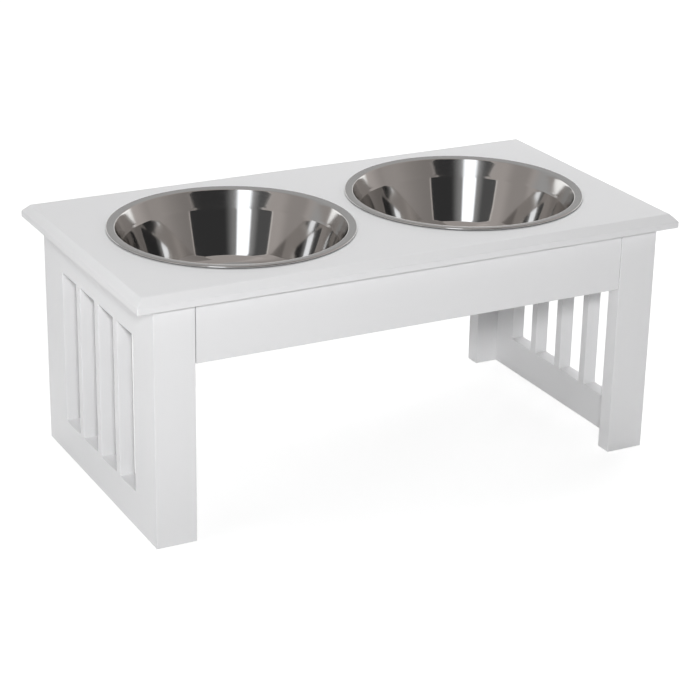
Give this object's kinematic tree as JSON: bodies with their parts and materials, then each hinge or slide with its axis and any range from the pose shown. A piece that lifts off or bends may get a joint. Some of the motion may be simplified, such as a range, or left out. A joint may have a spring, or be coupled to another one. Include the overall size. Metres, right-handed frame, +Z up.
{
  "type": "raised pet feeder",
  "caption": "Raised feeding table for a dog or cat: a white painted wooden stand with slatted ends and lift-out steel bowls set into its top.",
  "frame": {"origin": "on the floor, below the middle of the table", "axes": "+Z up, X along the table's long side with +X to the right seen from the front, +Y from the front to the back"},
  "size_m": [0.584, 0.305, 0.2567],
  "materials": {
    "white_paint": "white satin paint on wood board",
    "polished_steel": "polished stainless steel sheet",
    "beech": "bare beech",
    "zinc": "die-cast zinc and plated steel"
  },
  "bodies": {
    "frame": {"top_board": "white_paint", "front_left_leg": "white_paint", "left_front_stile": "white_paint", "back_left_leg": "white_paint", "left_back_stile": "white_paint", "left_bottom_rail": "white_paint", "left_top_rail": "white_paint", "left_slat_1": "white_paint", "left_slat_2": "white_paint", "left_slat_3": "white_paint", "front_right_leg": "white_paint", "right_front_stile": "white_paint", "back_right_leg": "white_paint", "right_back_stile": "white_paint", "right_bottom_rail": "white_paint", "right_top_rail": "white_paint", "right_slat_1": "white_paint", "right_slat_2": "white_paint", "right_slat_3": "white_paint", "front_apron": "white_paint", "back_apron": "white_paint", "left_bottom_rail_front_lower_dowel": "beech", "left_bottom_rail_front_upper_dowel": "beech", "left_bottom_rail_back_lower_dowel": "beech", "left_bottom_rail_back_upper_dowel": "beech", "left_top_rail_front_lower_dowel": "beech", "left_top_rail_front_upper_dowel": "beech", "left_top_rail_back_lower_dowel": "beech", "left_top_rail_back_upper_dowel": "beech", "right_bottom_rail_front_lower_dowel": "beech", "right_bottom_rail_front_upper_dowel": "beech", "right_bottom_rail_back_lower_dowel": "beech", "right_bottom_rail_back_upper_dowel": "beech", "right_top_rail_front_lower_dowel": "beech", "right_top_rail_front_upper_dowel": "beech", "right_top_rail_back_lower_dowel": "beech", "right_top_rail_back_upper_dowel": "beech", "front_apron_left_dowel": "beech", "front_apron_right_dowel": "beech", "back_apron_left_dowel": "beech", "back_apron_right_dowel": "beech", "left_front_board_cam_nut": "zinc", "left_front_board_cam_bolt": "zinc", "left_back_board_cam_nut": "zinc", "left_back_board_cam_bolt": "zinc", "right_front_board_cam_nut": "zinc", "right_front_board_cam_bolt": "zinc", "right_back_board_cam_nut": "zinc", "right_back_board_cam_bolt": "zinc", "front_apron_left_cam_nut": "zinc", "front_apron_left_cam_bolt": "zinc", "front_apron_right_cam_nut": "zinc", "front_apron_right_cam_bolt": "zinc", "back_apron_left_cam_nut": "zinc", "back_apron_left_cam_bolt": "zinc", "back_apron_right_cam_nut": "zinc", "back_apron_right_cam_bolt": "zinc"},
    "left_bowl": {"left_bowl": "polished_steel"},
    "right_bowl": {"right_bowl": "polished_steel"}
  },
  "joints": [
    {"name": "left_bowl_lift", "type": "slide", "parent": "frame", "child": "left_bowl", "axis": [0, 0, 1], "range_m": [0, 0.09]},
    {"name": "right_bowl_lift", "type": "slide", "parent": "frame", "child": "right_bowl", "axis": [0, 0, 1], "range_m": [0, 0.09]}
  ]
}
